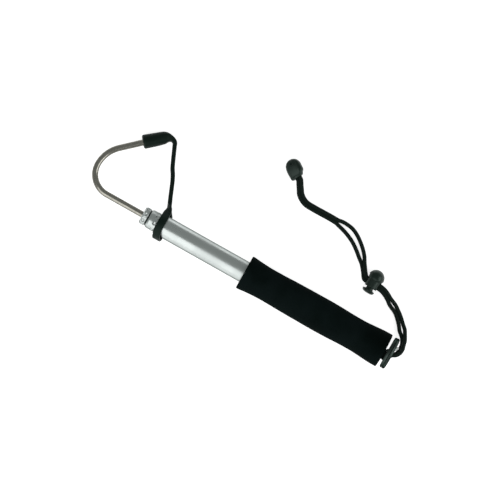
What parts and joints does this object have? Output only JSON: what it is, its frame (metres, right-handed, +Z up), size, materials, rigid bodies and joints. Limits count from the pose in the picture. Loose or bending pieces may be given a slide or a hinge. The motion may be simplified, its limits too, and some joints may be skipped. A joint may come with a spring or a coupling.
{
  "type": "telescopic fishing gaff",
  "caption": "Closed telescopic gaff: tubes sliding in a foam-gripped handle, a round-wire hook with a rubber tip guard on a band, a split ring at the butt and a corded lanyard.",
  "frame": {"origin": "on the table, under the middle of the gaff's box without its lanyard", "axes": "+X along the tubes from the hook to the butt, +Y to the side where the hook opens and the lanyard lies, +Z up from the table"},
  "size_m": [0.3615, 0.1416, 0.0494],
  "materials": {
    "satin_aluminium": "satin, silver anodised",
    "hook_steel": "polished, warm grey",
    "dark_steel": "dark plated",
    "bright_steel": "zinc grey",
    "black_rubber": "smooth black rubber",
    "black_foam": "fine closed-cell foam, matt black",
    "black_plastic": "fine texture, black",
    "pale_nylon": "natural nylon",
    "black_cord": "braided, matt black"
  },
  "bodies": {
    "handle": {"outer_tube": "satin_aluminium", "outer_mouth_bush": "black_plastic", "foam_grip": "black_foam", "butt_plug": "black_plastic", "eye_bolt": "bright_steel", "eye_nut": "bright_steel", "lanyard_cord": "black_cord", "cord_end_upper": "black_plastic", "cord_end_lower": "black_plastic"},
    "middle_section": {"middle_tube": "satin_aluminium", "middle_collar": "satin_aluminium", "middle_mouth_bush": "black_plastic", "middle_stop_bush": "pale_nylon"},
    "inner_runner": {"inner_stop_bush": "pale_nylon"},
    "inner_section": {"inner_tube": "satin_aluminium", "hook_ferrule": "satin_aluminium", "hook_plug": "pale_nylon", "hook": "hook_steel", "guard_band": "black_rubber"},
    "guard": {"tip_guard": "black_rubber"},
    "ring": {"split_ring": "dark_steel"},
    "cord_lock": {"cord_lock_body": "black_plastic", "cord_lock_spring": "bright_steel"},
    "lock_plunger": {"cord_lock_plunger": "black_plastic"}
  },
  "joints": [
    {"name": "middle_slide", "type": "slide", "parent": "handle", "child": "middle_section", "axis": [-1, 0, 0], "range_m": [0, 0.199]},
    {"name": "inner_slide", "type": "slide", "parent": "middle_section", "child": "inner_runner", "axis": [-1, 0, 0], "range_m": [0, 0.19]},
    {"name": "hook_turn", "type": "hinge", "parent": "inner_runner", "child": "inner_section", "pos_m": [0, -0.03317, 0.01805], "axis": [1, 0, 0], "continuous": true},
    {"name": "guard_pull", "type": "slide", "parent": "inner_section", "child": "guard", "axis": [0.7314, 0.6742, -0.1027], "range_m": [0, 0.03], "deforming": ["guard_band"]},
    {"name": "ring_swing", "type": "hinge", "parent": "handle", "child": "ring", "pos_m": [0.1715, -0.03237, 0.01825], "axis": [0, 1, 0], "range_deg": [-14, 120], "deforming": ["lanyard_cord"]},
    {"name": "lock_slide", "type": "slide", "parent": "handle", "child": "cord_lock", "axis": [0.9986, -0.0523, 0], "range_m": [-0.004, 0.004]},
    {"name": "plunger_press", "type": "slide", "parent": "cord_lock", "child": "lock_plunger", "axis": [0.0523, 0.9986, 0], "range_m": [0, 0.0022], "stiffness_N_per_m": 600, "springref_m": -0.004, "deforming": ["cord_lock_spring"]}
  ]
}
